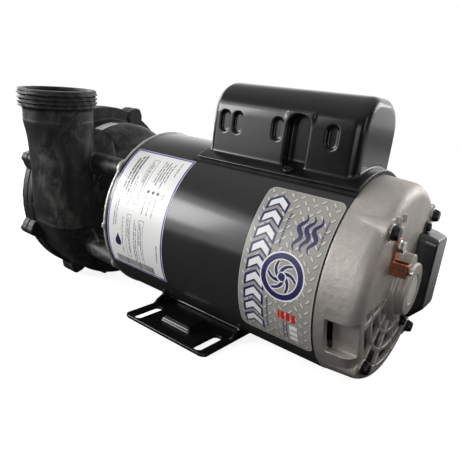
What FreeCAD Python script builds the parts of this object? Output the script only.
import FreeCAD, Part
import Sketcher
import math
import os
from FreeCAD import Vector, Placement, Rotation

# Spa circulation pump: 56-frame motor with a side-discharge plastic wet end.
# Built about the shaft axis and lifted onto the foot plane. +X runs along the
# shaft towards the rear end bell, +Z is up, the discharge riser is on -Y.
# Names ending in _x, _y, _z, _front and _rear are places, measured from the shaft axis.

DIMENSIONS = dict(
    shaft_height=88.9,
    # gap between parts that seat on one another
    fit_gap=0.02,
    # motor shell
    shell_radius=82.5, shell_wall=2.5, shell_front=-85.0, shell_rear=140.0,
    lead_hole_x=119.0, lead_hole_radius=8.0,
    # front bracket
    bracket_front=-88.0, bracket_rim_radius=83.5, spigot_clearance=0.04,
    bracket_spigot_length=9.0, bracket_plate_back=-83.0, bracket_rib_count=8,
    ear_front=-89.0, ear_radius=9.0, ear_circle_radius=77.0, ear_angle=37.0,
    ear_bolt_hole_radius=4.0,
    # bearings
    bearing_outer_radius=20.0, bearing_bore_radius=8.5, bearing_width=12.0, ball_radius=3.4,
    ball_circle_radius=14.25, groove_radius=3.46, race_outer_inside_radius=16.6,
    race_inner_outside_radius=11.9, front_bearing_x=-80.0, rear_bearing_x=148.0,
    cage_thickness=2.2, ball_count=8,
    # rear end bell
    bell_edge_radius=82.2, bell_shoulder_radius=79.9, bell_face_x=172.0,
    bell_shoulder_fillet=11.0, bell_wall=4.0, hub_tier_radius=26.5, hub_tier_x=176.0,
    hub_face_x=182.0, hub_radius=21.5, hub_cap_radius=12.0, bolt_circle_radius=72.5,
    bolt_boss_radius=9.2, bolt_boss_x=171.2, spot_face_radius=7.0, bolt_hole_radius=3.1,
    vent_inner_radius=28.5, vent_ring_one=38.7, vent_ring_two=53.4, vent_outer_radius=66.0,
    vent_ring_width=3.4, vent_rib_angle=4.0, scoop_angle=200.0, scoop_width=30.0,
    scoop_front=148.5, scoop_floor_radius=73.2, scoop_slit=2.8, lobe_x=180.4,
    # rotor and shaft
    shaft_front=-176.0, shaft_thread_radius=5.5, shaft_seal_radius=7.94,
    shaft_seat_front=-92.0, shaft_core_radius=11.0, shaft_shoulder_radius=10.5,
    shaft_core_overhang=13.0, shaft_rear=170.0, shaft_end_length=6.0, shaft_end_radius=7.0,
    core_front=-45.0, core_rear=60.0, rotor_radius=42.5, rotor_slot_count=28, air_gap=0.5,
    end_ring_length=9.0, end_ring_radius=40.0, end_ring_bore=22.0, fan_blade_length=9.0,
    fan_blade_count=10,
    # stator
    slot_count=24, slot_width=5.0, slot_outer_radius=66.0, coil_inner_radius=49.0,
    coil_outer_radius=68.0, coil_length=23.0, coil_corner_radius=6.0, coil_gap=1.5,
    # through bolts
    through_bolt_radius=2.5, through_bolt_head_flats=9.5, through_bolt_head_height=4.6,
    washer_radius=6.2, washer_thickness=1.5,
    # foot
    foot_half_length=51.0, foot_half_width=82.0, foot_thickness=3.0, foot_corner_radius=6.0,
    foot_slot_x=38.1, foot_slot_y=61.9, foot_slot_length=34.0, foot_slot_half_width=4.35,
    saddle_x=49.5, saddle_thickness=3.0, emboss_height=5.5, emboss_half_length=17.5,
    emboss_half_width=12.5, emboss_y=52.0,
    # capacitor cover
    cover_half_width=36.0, cover_front=-8.0, cover_rear=133.0, cover_top=139.0,
    cover_corner_radius=27.5, cover_end_radius=8.5, cover_flange_front=-11.0,
    cover_flange_rear=141.0, cover_flange_angle=65.0, cover_flange_thickness=2.0,
    cover_wall=2.5, cover_end_wall=5.5, cover_screw_angle=28.5, cover_screw_hole_radius=2.3,
    gasket_thickness=1.5, gasket_extra=3.0, screw_groove_x=80.0,
    screw_groove_half_width=10.0, screw_groove_depth=9.0, screw_groove_bottom=60.0,
    screw_groove_top=109.0, dimple_depth=2.8, dimple_radius=4.5, dimple_bottom=101.0,
    dimple_top=110.0,
    # capacitors
    start_can_radius=13.2, start_can_height=97.2, run_can_radius=12.2, run_can_height=123.4,
    can_front=6.0, can_length=100.0, can_cap_length=1.5,
    # labels
    label_gap=0.02, label_thickness=0.3, rating_front=-82.0, rating_rear=-9.0,
    rating_top_angle=54.0, rating_bottom_angle=-30.5, rating_corner_radius=2.0,
    badge_front=75.0, badge_rear=139.0, badge_top_angle=50.0, badge_bottom_angle=-36.5,
    badge_corner_radius=6.0,
    # terminal cover
    terminal_left=21.7, terminal_right=59.5, terminal_bottom=-34.5, terminal_top=39.5,
    terminal_depth=15.0, terminal_wall=2.0, terminal_screw_y=37.5, terminal_screw_z=43.2,
    terminal_low_y=28.0, terminal_low_z=-38.8, terminal_ear_radius=5.4,
    terminal_ear_thickness=1.3,
    # bonding lug
    lug_near_y=-27.6, lug_width=10.8, lug_box_bottom=18.0, lug_box_height=10.0,
    lug_box_depth=10.4, lug_strap_thickness=1.6, lug_screw_y=-33.0, lug_screw_z=39.0,
    lug_strap_top=44.6, clamp_screw_z=23.0,
    # volute
    volute_clock=5.0, scroll_start_angle=110.0, scroll_sweep=290.0, scroll_start_radius=82.0,
    scroll_end_radius=97.0, scroll_front=-190.0, scroll_back_start=-139.0,
    scroll_back_end=-128.0, scroll_round_radius=24.0, scroll_wall=5.5, flange_radius=98.0,
    volute_flange_back=-188.0, volute_face=-196.0, lug_circle_radius=100.4, lug_radius=6.2,
    lug_shoulder_circle=94.6, lug_shoulder_radius=10.6, lug_start_angle=22.5,
    cover_screw_radius=2.6, riser_y=-76.0, riser_x=-164.5, riser_top=119.5,
    riser_bore_radius=30.0, riser_bore_depth=27.0, riser_throat_radius=25.5,
    riser_crest_radius=38.0, riser_rim_radius=36.8, riser_tube_radius=33.2, thread_pitch=3.8,
    back_plate_x=-130.0, seal_boss_x=-120.0, seal_bore_radius=17.5, arm_root_radius=12.0,
    arm_tip_radius=9.2, arm_root_circle=71.0, impeller_room_radius=69.0, drain_x=-176.0,
    drain_angle=264.0, drain_root=60.0, drain_seat=94.0,
    # suction cover
    suction_plate_front=-206.0, suction_port_front=-252.0, suction_bore_radius=24.0,
    wear_ring_bore_radius=26.08, wear_ring_outer_radius=29.5,
    # impeller
    impeller_radius=62.0, impeller_eye_radius=26.0, impeller_eye_bore=22.0,
    impeller_back=-149.0, impeller_shroud=3.0, vane_height=15.0, vane_count=5,
)

doc = FreeCAD.newDocument("pool_pump")
sheet = doc.addObject("Spreadsheet::Sheet", "dims")
for row, (alias, number) in enumerate(DIMENSIONS.items(), start=2):
    sheet.set("A%d" % row, alias.replace("_", " "))
    sheet.set("B%d" % row, repr(float(number)))
    sheet.setAlias("B%d" % row, alias)
doc.recompute()


# ------------------------------------------------ sizes that carry a formula
def operation(sign, work):
    # an operator and its reflection, acting on numbers and formulas alike
    def forward(left, right):
        left, right = size(left), size(right)
        text = "(%s %s %s)" % (left.text, sign, right.text)
        return Size(work(left.value, right.value), text)

    return forward, lambda right, left: forward(left, right)


class Size:
    # a number together with the spreadsheet formula that gives it
    def __init__(self, value, text):
        self.value = float(value)
        self.text = text

    __add__, __radd__ = operation("+", lambda left, right: left + right)
    __sub__, __rsub__ = operation("-", lambda left, right: left - right)
    __mul__, __rmul__ = operation("*", lambda left, right: left * right)
    __truediv__ = operation("/", lambda left, right: left / right)[0]

    def __neg__(self):
        return 0.0 - self


def size(x):
    if isinstance(x, Size):
        return x
    return Size(x, "(%s)" % repr(float(x)) if x < 0 else repr(float(x)))


def cosine(angle):
    angle = size(angle)
    return Size(math.cos(math.radians(angle.value)), "cos(%s)" % angle.text)


def sine(angle):
    angle = size(angle)
    return Size(math.sin(math.radians(angle.value)), "sin(%s)" % angle.text)


class Lookup:
    # reads a dimension by its alias
    def __init__(self, read):
        self.read = read

    def __getattr__(self, alias):
        return self.read(alias)


dims = Lookup(lambda alias: Size(DIMENSIONS[alias], "dims." + alias))
num = Lookup(lambda alias: float(sheet.get(alias)))


def bind(obj, path, x):
    if isinstance(x, Size):
        obj.setExpression(path, x.text)


def assign(obj, **settings):
    for name, amount in settings.items():
        setattr(obj, name, amount.value if isinstance(amount, Size) else amount)
        bind(obj, name, amount)


# -------------------------------------------------------- pieces and sketches
X, Y, Z = Vector(1, 0, 0), Vector(0, 1, 0), Vector(0, 0, 1)
ORIGIN = Vector(0, 0, 0)
XY, XZ, YZ = "XY_Plane", "XZ_Plane", "YZ_Plane"
START, END, CENTRE = 1, 2, 3    # Sketcher's point numbers
SIDES = (-1.0, 1.0)
CORNERS = [(side_y, side_z) for side_y in SIDES for side_z in SIDES]

nodes = []


def make_body(label):
    body = doc.addObject("PartDesign::Body", label)
    body.Label = label
    body.setExpression("Placement.Base.z", "dims.shaft_height")
    nodes.append(body)
    return body


def feature(label, shape):
    obj = doc.addObject("Part::Feature", label)
    obj.Label = label
    obj.Shape = shape
    lift = Placement(Vector(0, 0, num.shaft_height), Rotation())
    obj.Placement = lift.multiply(shape.Placement)
    nodes.append(obj)


def origin_item(body, role):
    for item in body.Origin.OriginFeatures:
        if item.Role == role:
            return item


def draw(body, plane, shape, items, at=None, turn=None):
    # A sketch holding one shape per item. "at" is along the plane's normal: +Z, -Y or +X.
    # "turn" swings the sketch about X, from +Z towards -Y.
    sketch = body.newObject("Sketcher::SketchObject", body.Name + "_sketch")
    sketch.AttachmentSupport = [(origin_item(body, plane), "")]
    sketch.MapMode = "FlatFace"
    if turn is not None:
        turn = size(turn)
        sketch.AttachmentOffset = Placement(ORIGIN, Rotation(X, turn.value))
        sketch.setExpression("AttachmentOffset.Rotation.Angle", turn.text)
    if at is not None:
        at = size(at)
        place = sketch.AttachmentOffset
        place.Base = Vector(0, 0, at.value)
        sketch.AttachmentOffset = place
        sketch.setExpression("AttachmentOffset.Base.z", at.text)
    for item in items:
        shape(sketch, *item)
    return sketch


def measure(sketch, x, *what):
    # a named dimensional constraint, bound to its formula
    index = sketch.addConstraint(Sketcher.Constraint(*what, size(x).value))
    sketch.renameConstraint(index, "c%d" % index)
    bind(sketch, "Constraints.c%d" % index, x)


def fix(sketch, index, point, u, v):
    for kind, axis, x in (("DistanceX", -2, u), ("DistanceY", -1, v)):
        if x is None:
            continue
        if not isinstance(x, Size) and x == 0:
            sketch.addConstraint(Sketcher.Constraint("PointOnObject", index, point, axis))
        else:
            measure(sketch, x, kind, -1, 1, index, point)


def join(sketch, one, one_point, two, two_point):
    sketch.addConstraint(Sketcher.Constraint("Coincident", one, one_point, two, two_point))


def end_point(sketch, index, point):
    arc = sketch.Geometry[index]
    return arc.StartPoint if point == START else arc.EndPoint


def link(sketch, one, one_point, two, two_point):
    # a straight line from an end of one arc to an end of another
    line = sketch.addGeometry(Part.LineSegment(
        end_point(sketch, one, one_point), end_point(sketch, two, two_point)), False)
    join(sketch, one, one_point, line, START)
    join(sketch, line, END, two, two_point)


def add_arc(sketch, u, v, radius, first, last):
    # angles in degrees
    round_ = Part.Circle(Vector(size(u).value, size(v).value, 0), Z, size(radius).value)
    arc = Part.ArcOfCircle(round_, math.radians(first), math.radians(last))
    return sketch.addGeometry(arc, False)


def loop(sketch, *points):
    base = sketch.GeometryCount
    count = len(points)
    corners = [Vector(size(u).value, size(v).value, 0) for u, v in points]
    for i in range(count):
        sketch.addGeometry(Part.LineSegment(corners[i], corners[(i + 1) % count]), False)
    for i in range(count):
        join(sketch, base + i, END, base + (i + 1) % count, START)
    for i, (u, v) in enumerate(points):
        fix(sketch, base + i, START, u, v)


def rect(sketch, u1, u2, v1, v2):
    loop(sketch, (u1, v1), (u2, v1), (u2, v2), (u1, v2))


def circle(sketch, u, v, radius):
    centre = Vector(size(u).value, size(v).value, 0)
    index = sketch.addGeometry(Part.Circle(centre, Z, size(radius).value), False)
    if all(not isinstance(x, Size) and x == 0 for x in (u, v)):
        join(sketch, index, CENTRE, -1, 1)
    else:
        fix(sketch, index, CENTRE, u, v)
    measure(sketch, radius, "Radius", index)


def corner_circles(sketch, reach, angle, radius):
    # four circles, at an angle above and below the horizontal on both sides
    for side_y, side_z in CORNERS:
        circle(sketch, side_y * reach * cosine(angle), side_z * reach * sine(angle), radius)


def ear_circles(sketch, radius):
    corner_circles(sketch, dims.ear_circle_radius, dims.ear_angle, radius)


def through_bolt_circles(sketch, radius):
    corner_circles(sketch, dims.bolt_circle_radius, 45.0, radius)


def slot(sketch, u, v, half, radius):
    # rounded slot along v, centred at (u, v); half is centre to arc centre
    u, v, half, radius = size(u), size(v), size(half), size(radius)
    arcs = []
    for side, first in ((1.0, 0.0), (-1.0, 180.0)):
        centre = v + side * half
        index = add_arc(sketch, u, centre, radius, first, first + 180.0)
        arcs.append(index)
        fix(sketch, index, CENTRE, u, centre)
        fix(sketch, index, START, u + side * radius, centre)
        fix(sketch, index, END, None, centre)
    link(sketch, arcs[0], END, arcs[1], START)
    link(sketch, arcs[1], END, arcs[0], START)


def sector(sketch, inner, outer, first, last):
    # ring sector about the origin between two angles in degrees
    first, last = size(first), size(last)
    arcs = []
    for radius in (inner, outer):
        index = add_arc(sketch, 0.0, 0.0, radius, first.value, last.value)
        arcs.append(index)
        join(sketch, index, CENTRE, -1, 1)
        measure(sketch, radius, "Radius", index)
        for point, angle in ((START, first), (END, last)):
            if abs(math.sin(math.radians(angle.value))) > 0.7:
                fix(sketch, index, point, radius * cosine(angle), None)
            else:
                fix(sketch, index, point, None, radius * sine(angle))
    for point in (START, END):
        link(sketch, arcs[0], point, arcs[1], point)


def arch(sketch, half, bottom, top, radius):
    # flat-bottomed arch with rounded shoulders, symmetric about the sketch's vertical axis
    half, bottom, top, radius = size(half), size(bottom), size(top), size(radius)
    shoulder = top - radius
    arcs = []
    for side, first, level, upper in ((1.0, 0.0, START, END), (-1.0, 90.0, END, START)):
        centre = side * (half - radius)
        index = add_arc(sketch, centre, shoulder, radius, first, first + 90.0)
        arcs.append(index)
        fix(sketch, index, CENTRE, centre, shoulder)
        fix(sketch, index, level, None, shoulder)
        fix(sketch, index, upper, centre, None)
        measure(sketch, radius, "Radius", index)
    right, left = arcs
    corners = [Vector(u.value, v.value, 0) for u, v in
               ((-half, shoulder), (-half, bottom), (half, bottom), (half, shoulder))]
    base = sketch.GeometryCount
    for i in range(3):
        sketch.addGeometry(Part.LineSegment(corners[i], corners[i + 1]), False)
    for one, two in ((left, base), (base, base + 1), (base + 1, base + 2), (base + 2, right)):
        join(sketch, one, END, two, START)
    link(sketch, right, END, left, START)
    fix(sketch, base + 1, START, -half, bottom)
    fix(sketch, base + 1, END, half, bottom)


# ---------------------------------------------------------- modelling features
def volume(body):
    return 0.0 if body.Shape.isNull() else body.Shape.Volume


def apply(kind, suffix, sign, body, sketch, **settings):
    # add a feature and make sure that it added (sign 1) or cut (sign -1) something
    before = volume(body)
    feat = body.newObject("PartDesign::" + kind, body.Name + suffix)
    feat.Profile = sketch
    assign(feat, **settings)
    sketch.Visibility = False
    doc.recompute()
    if sign * (volume(body) - before) <= 0.001:
        raise RuntimeError("%s changed nothing in %s" % (feat.Name, body.Label))
    return feat


def spin(kind, sign, body, shape, items, turn, angle):
    sketch = draw(body, XZ, shape, items, turn=turn)
    return apply(kind, "_turned", sign, body, sketch,
                 ReferenceAxis=(sketch, ["H_Axis"]), Angle=angle)


def revolve(body, shape, *items, turn=None, angle=360.0):
    # about the shaft axis; items are drawn as (x, radius)
    return spin("Revolution", 1, body, shape, items, turn, angle)


def groove(body, shape, *items):
    return spin("Groove", -1, body, shape, items, None, 360.0)


def extrude(kind, sign, body, sketch, length, flip, both):
    return apply(kind, "_run", sign, body, sketch,
                 Type="Length", Length=length, Midplane=both, Reversed=flip)


def pad(body, plane, shape, *items, length, at=None, flip=False, both=False):
    # grows along the sketch's normal; flip grows against it
    return extrude("Pad", 1, body, draw(body, plane, shape, items, at), length, flip, both)


def pocket(body, plane, shape, *items, length, at=None, turn=None, flip=False, both=False):
    # cuts against the sketch's normal; flip cuts along it
    sketch = draw(body, plane, shape, items, at, turn)
    return extrude("Pocket", -1, body, sketch, length, flip, both)


def polar(body, feat, count):
    pattern = body.newObject("PartDesign::PolarPattern", body.Name + "_ring")
    pattern.Originals = [feat]
    pattern.Axis = (origin_item(body, "X_Axis"), [""])
    pattern.Angle = 360
    pattern.Occurrences = int(count.value)
    bind(pattern, "Occurrences", count)
    body.Tip = pattern
    doc.recompute()


def dress(kind, body, choose, **amount):
    names = ["Edge%d" % (i + 1) for i, edge in enumerate(body.Shape.Edges) if choose(edge)]
    if not names:
        raise RuntimeError("no edge chosen on " + body.Label)
    tip = body.Tip
    feat = body.newObject("PartDesign::" + kind, body.Name + "_edge")
    feat.Base = (tip, names)
    assign(feat, **amount)
    doc.recompute()


def fillet(body, choose, radius):
    dress("Fillet", body, choose, Radius=radius)


def chamfer(body, choose, amount):
    dress("Chamfer", body, choose, Size=amount)


def local(point):
    # body shapes come placed; bring a point back to the shaft frame
    return Vector(point.x, point.y, point.z - num.shaft_height)


def ring_edge(x, radius):
    x, radius = size(x).value, size(radius).value

    def choose(edge):
        curve = edge.Curve
        if not isinstance(curve, Part.Circle):
            return False
        centre = local(curve.Center)
        return (abs(centre.x - x) < 0.05 and abs(curve.Radius - radius) < 0.05
                and math.hypot(centre.y, centre.z) < 0.05)
    return choose


def line_edge(direction, test=lambda point: True):
    def choose(edge):
        if not isinstance(edge.Curve, Part.Line):
            return False
        if abs(abs(edge.Curve.Direction.dot(direction)) - 1) > 1e-4:
            return False
        return test(local(edge.CenterOfMass))
    return choose


def turned(label, points):
    body = make_body(label)
    revolve(body, loop, points)
    return body


def ring(label, front, rear, inner, outer):
    body = make_body(label)
    revolve(body, rect, (front, rear, inner, outer))
    return body


# ------------------------------------------------------------- plain solids
def around(x, reach, degrees):
    # a place about the shaft, the angle running from +Y towards +Z
    angle = math.radians(degrees)
    return x, reach * math.cos(angle), reach * math.sin(angle)


def rod(radius, length, x, y=0.0, z=0.0):
    return Part.makeCylinder(radius, length, Vector(x, y, z), X)


def tube(outer, inner, length, x, y=0.0, z=0.0):
    return rod(outer, length, x, y, z).cut(rod(inner, length + 2.0, x - 1.0, y, z))


def hexagon(x, y, z, flats, height, turn=0.0):
    corners = []
    for i in range(7):
        _, side, up = around(x, flats / math.sqrt(3.0), 60 * i + turn)
        corners.append(Vector(x, y + side, z + up))
    return Part.Face(Part.makePolygon(corners)).extrude(Vector(height, 0, 0))


def polygon_face(points):
    return Part.Face(Part.makePolygon(points + [points[0]]))


def turn_profile(points, base, axis, side):
    # solid of revolution from (radius, place along the axis) points
    return polygon_face([base + side * r + axis * z for r, z in points]).revolve(base, axis, 360)


def about_x(points):
    # solid of revolution about the shaft from (x, radius) points
    return turn_profile([(r, x) for x, r in points], ORIGIN, X, Z)


def largest(shape):
    return max(shape.Solids, key=lambda solid: solid.Volume)


# ------------------------------------------------------------- shared places
SPIGOT_RADIUS = dims.shell_radius - dims.shell_wall - dims.spigot_clearance
BEARING_SEAT = dims.bearing_outer_radius + dims.fit_gap
FRONT_BEARING_BACK = dims.front_bearing_x + dims.bearing_width
REAR_BEARING_BACK = dims.rear_bearing_x + dims.bearing_width
CORE_LENGTH = dims.core_rear - dims.core_front
BOLT_ANGLES = (45.0, 135.0, 225.0, 315.0)
ARM_ANGLES = (180.0 - num.ear_angle, 180.0 + num.ear_angle, num.ear_angle, 360.0 - num.ear_angle)


# ---------------------------------------------------------------- motor shell
def radial_holes(body, radius, length):
    # holes for the capacitor cover's screws, square to the shell
    for turn in (-dims.cover_screw_angle, dims.cover_screw_angle):
        pocket(body, XY, circle, (dims.screw_groove_x, 0.0, radius),
               turn=turn, length=length, flip=True)


def motor_shell():
    shell = ring("motor_shell", dims.shell_front, dims.shell_rear,
                 dims.shell_radius - dims.shell_wall, dims.shell_radius)
    reach = dims.shell_radius + 5.0
    pocket(shell, XY, circle, (dims.lead_hole_x, 0.0, dims.lead_hole_radius),
           length=reach, flip=True)
    # two drain slots under the shell ends
    pocket(shell, XY, slot, (-66.0, 0.0, 5.0, 2.5), (120.0, 0.0, 5.0, 2.5), length=reach)
    radial_holes(shell, 2.1, 90.0)


# -------------------------------------------------------------- front bracket
def front_bracket():
    rim_front, rim_back = dims.bracket_front, dims.shell_front
    spigot_back = rim_back + dims.bracket_spigot_length
    plate_back = dims.bracket_plate_back
    pocket_back = FRONT_BEARING_BACK + 1.5
    shaft_hole, spigot_inside = 12.0, 75.0
    bracket = turned("front_bracket", [
        (rim_front, shaft_hole), (rim_front, dims.bracket_rim_radius),
        (rim_back, dims.bracket_rim_radius), (rim_back, SPIGOT_RADIUS),
        (spigot_back, SPIGOT_RADIUS), (spigot_back, spigot_inside),
        (plate_back, spigot_inside), (plate_back, 27.0), (pocket_back, 25.0),
        (pocket_back, BEARING_SEAT), (dims.front_bearing_x, BEARING_SEAT),
        (dims.front_bearing_x, shaft_hole)])
    pad(bracket, YZ, ear_circles, (dims.ear_radius,),
        at=dims.ear_front, length=rim_back - dims.ear_front - 0.01)
    # stiffening ribs on the front of the bracket
    rib = pad(bracket, YZ, rect, (-1.8, 1.8, 16.0, 64.0), at=rim_front - 3.0, length=4.0)
    polar(bracket, rib, dims.bracket_rib_count)
    pocket(bracket, YZ, ear_circles, (dims.ear_bolt_hole_radius,),
           at=dims.ear_front - 1.0, length=12.0, flip=True)
    # tapped blind seats for the long through bolts
    pocket(bracket, YZ, through_bolt_circles, (dims.through_bolt_radius + 0.05,),
           at=plate_back + 0.5, length=3.6)
    # small locating tab on the rim, and its match on the far side
    pad(bracket, YZ, rect, (-85.2, -80.5, -9.5, -4.5), (80.5, 85.2, 4.5, 9.5),
        at=rim_front, length=rim_back - rim_front)


# ------------------------------------------------------------------- bearings
def race(label, x, inner, outer, edge_radius, edge_size):
    back = x + dims.bearing_width
    body = ring(label, x, back, inner, outer)
    groove(body, circle,
           (x + dims.bearing_width / 2.0, dims.ball_circle_radius, dims.groove_radius))
    for face in (x, back):
        chamfer(body, ring_edge(face, edge_radius), edge_size)


def bearing_cage(label, centre, holes):
    inside, outside = 13.3, 15.2
    pitch = 360.0 / len(holes)
    thick = num.cage_thickness
    bars = [Part.makeBox(3.4, 1.9, 1.6, Vector(centre, inside, -0.8)).rotated(
        Vector(centre, 0, 0), X, pitch * (i + 1)) for i in range(len(holes))]
    cage = tube(outside, inside, thick, centre - thick / 2)
    cage = cage.fuse([tube(outside, inside, 1.2, centre + 2.8)] + bars).removeSplitter()
    cage.rotate(Vector(centre, 0, 0), X, pitch)
    for hole in holes:
        cage = cage.cut(hole)
    feature(label, cage)


def bearing(end, x):
    race(end + "_bearing_outer_race", x, dims.race_outer_inside_radius,
         dims.bearing_outer_radius, dims.bearing_outer_radius, 0.8)
    race(end + "_bearing_inner_race", x, dims.bearing_bore_radius,
         dims.race_inner_outside_radius, dims.bearing_bore_radius, 0.6)
    centre = (x + dims.bearing_width / 2.0).value
    count = int(num.ball_count)
    balls = []
    holes = []
    for i in range(count):
        angle = 360.0 * (i + 0.5) / count
        place = Vector(*around(centre, num.ball_circle_radius, angle))
        balls.append(Part.makeSphere(num.ball_radius, place))
        hole = Part.makeSphere(num.ball_radius + 0.03, place)
        # turned so that the sphere's seam stays clear of the cage's edges
        hole.rotate(place, X, angle + 17.0)
        holes.append(hole)
    feature(end + "_bearing_balls", Part.makeCompound(balls))
    bearing_cage(end + "_bearing_cage", centre, holes)


def bearings():
    bearing("front", dims.front_bearing_x)
    bearing("rear", dims.rear_bearing_x)


# ------------------------------------------------------------ shaft and rotor
def shaft():
    thread, seal = dims.shaft_thread_radius, dims.shaft_seal_radius
    seat = dims.bearing_bore_radius - dims.fit_gap
    shoulder, core = dims.shaft_shoulder_radius, dims.shaft_core_radius
    core_start = dims.core_front - dims.shaft_core_overhang
    core_end = dims.core_rear + dims.shaft_core_overhang
    end_start = dims.shaft_rear - dims.shaft_end_length
    body = turned("shaft", [
        (dims.shaft_front, 0.0), (dims.shaft_front, thread), (dims.impeller_back, thread),
        (dims.impeller_back, seal), (dims.shaft_seat_front, seal),
        (dims.shaft_seat_front, seat), (FRONT_BEARING_BACK, seat),
        (FRONT_BEARING_BACK, shoulder), (core_start, shoulder), (core_start, core),
        (core_end, core), (core_end, shoulder), (dims.rear_bearing_x, shoulder),
        (dims.rear_bearing_x, seat), (end_start, seat), (end_start, dims.shaft_end_radius),
        (dims.shaft_rear, dims.shaft_end_radius), (dims.shaft_rear, 0.0)])
    # slot across the rear end
    pocket(body, YZ, rect, (-7.5, 7.5, -1.0, 1.0), at=dims.shaft_rear, length=3.0)
    chamfer(body, ring_edge(dims.shaft_front, thread), 0.8)


def rotor_core():
    rotor = ring("rotor_core", dims.core_front, dims.core_rear,
                 dims.shaft_core_radius + dims.fit_gap, dims.rotor_radius)
    cut = pocket(rotor, YZ, rect, (-0.6, 0.6, dims.rotor_radius - 2.0, dims.rotor_radius + 2.0),
                 at=dims.core_rear + 1.0, length=CORE_LENGTH + 2.0)
    polar(rotor, cut, dims.rotor_slot_count)


def rotor_ring(label, front, blade_x, flip):
    body = ring(label, front, front + dims.end_ring_length,
                dims.end_ring_bore, dims.end_ring_radius)
    blade = pad(body, YZ, rect, (-1.2, 1.2, 27.0, dims.end_ring_radius - 1.0),
                at=blade_x, length=dims.fan_blade_length, flip=flip)
    polar(body, blade, dims.fan_blade_count)


def rotor_rings():
    front = dims.core_front - dims.end_ring_length
    rotor_ring("rotor_front_ring", front, front, True)
    rear = dims.core_rear
    rotor_ring("rotor_rear_ring", rear, rear + dims.end_ring_length, False)


# --------------------------------------------------------------------- stator
def stator_core():
    stator = ring("stator_core", dims.core_front, dims.core_rear,
                  dims.rotor_radius + dims.air_gap, SPIGOT_RADIUS)
    start, length = dims.core_rear + 1.0, CORE_LENGTH + 2.0
    cut = pocket(stator, YZ, rect, (-0.5 * dims.slot_width, 0.5 * dims.slot_width,
                                    dims.rotor_radius - 2.0, dims.slot_outer_radius),
                 at=start, length=length)
    polar(stator, cut, dims.slot_count)
    pocket(stator, YZ, through_bolt_circles, (dims.bolt_hole_radius + 0.6,),
           at=start, length=length)


def stator_windings():
    coils = make_body("stator_windings")
    inner, outer = dims.coil_inner_radius, dims.coil_outer_radius
    front_end = dims.core_front - dims.coil_gap
    rear_end = dims.core_rear + dims.coil_gap
    revolve(coils, rect, (front_end - dims.coil_length, front_end, inner, outer))
    bar = pad(coils, YZ, rect, (-0.46 * dims.slot_width, 0.46 * dims.slot_width,
                                inner + 1.5, dims.slot_outer_radius - 0.6),
              at=dims.core_front - 4.0, length=CORE_LENGTH + 8.0)
    polar(coils, bar, dims.slot_count)
    revolve(coils, rect, (rear_end, rear_end + dims.coil_length, inner, outer))
    for x in (front_end - dims.coil_length, rear_end + dims.coil_length):
        for radius in (inner, outer):
            fillet(coils, ring_edge(x, radius), dims.coil_corner_radius)


# -------------------------------------------------------------- rear end bell
def bell_blank():
    edge, face, hub_face = dims.shell_rear, dims.bell_face_x, dims.hub_face_x
    shoulder, tier = dims.bell_shoulder_radius, dims.hub_tier_radius
    inner_face = face - dims.bell_wall
    cap_hole, cap_floor = dims.hub_cap_radius + 0.03, hub_face - 5.0
    shaft_hole = 9.5
    pocket_floor = REAR_BEARING_BACK + 1.6
    pocket_mouth = dims.rear_bearing_x - 1.5
    bell = turned("rear_endbell", [
        (edge - 6.0, SPIGOT_RADIUS - 3.5), (edge - 6.0, SPIGOT_RADIUS), (edge, SPIGOT_RADIUS),
        (edge, dims.bell_edge_radius), (face, shoulder), (face, tier),
        (dims.hub_tier_x, tier), (dims.hub_tier_x, dims.hub_radius),
        (hub_face, dims.hub_radius), (hub_face, cap_hole), (cap_floor, cap_hole),
        (cap_floor, shaft_hole), (pocket_floor, shaft_hole), (pocket_floor, BEARING_SEAT),
        (pocket_mouth, BEARING_SEAT), (pocket_mouth, tier - 1.0), (inner_face, tier + 0.5),
        (inner_face, shoulder - 14.0), (face - 13.0, SPIGOT_RADIUS - 4.5)])
    fillet(bell, ring_edge(face, shoulder), dims.bell_shoulder_fillet)
    fillet(bell, ring_edge(hub_face, dims.hub_radius), 1.6)
    fillet(bell, ring_edge(dims.hub_tier_x, tier), 1.2)
    return bell


# (angle of the middle, half the angle it spans) of each vent in a ring
VENTS = ((188.0, 5.0), (210.0, 15.0), (240.0, 15.0), (270.0, 15.0), (300.0, 15.0), (325.0, 10.0))


def bell_vents(bell):
    # cooling vents in the lower half of the face: three rings of ring sectors
    half_ring = dims.vent_ring_width / 2.0
    rows = [(dims.vent_inner_radius, dims.vent_ring_one - half_ring),
            (dims.vent_ring_one + half_ring, dims.vent_ring_two - half_ring),
            (dims.vent_ring_two + half_ring, dims.vent_outer_radius)]
    for inner, outer in rows:
        rib = dims.vent_rib_angle * dims.vent_ring_one / inner / 2.0
        sectors = [(inner, outer, middle - half + rib, middle + half - rib)
                   for middle, half in VENTS]
        pocket(bell, YZ, sector, *sectors, at=dims.bell_face_x - dims.bell_wall - 1.0,
               length=dims.bell_wall + 3.0, flip=True)


def bell_scoops(bell):
    # a flat floor that runs out through the rounded shoulder, with a slit at its front end
    face, floor = dims.bell_face_x, dims.scoop_floor_radius
    slit_front = dims.scoop_front
    slit_back = slit_front + dims.scoop_slit
    above = dims.bell_edge_radius + 4.0
    under, block_top = floor - 2.6, 76.6
    for direction in (dims.scoop_angle, 540.0 - dims.scoop_angle):
        turn = direction - 90.0
        block = draw(bell, XZ, loop, [[
            (slit_back, under), (slit_back, block_top), (face - 5.0, block_top),
            (face - 3.0, 73.0), (face - 3.0, under)]], turn=turn)
        extrude("Pad", 1, bell, block, dims.scoop_width + 4.0, False, True)
        pocket(bell, XZ, loop, (
            (slit_front, above), (slit_front, floor - 6.0), (slit_back, floor - 6.0),
            (slit_back, floor), (face + 1.0, floor - 0.6), (face + 1.0, above)),
            turn=turn, length=dims.scoop_width, both=True)


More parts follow.
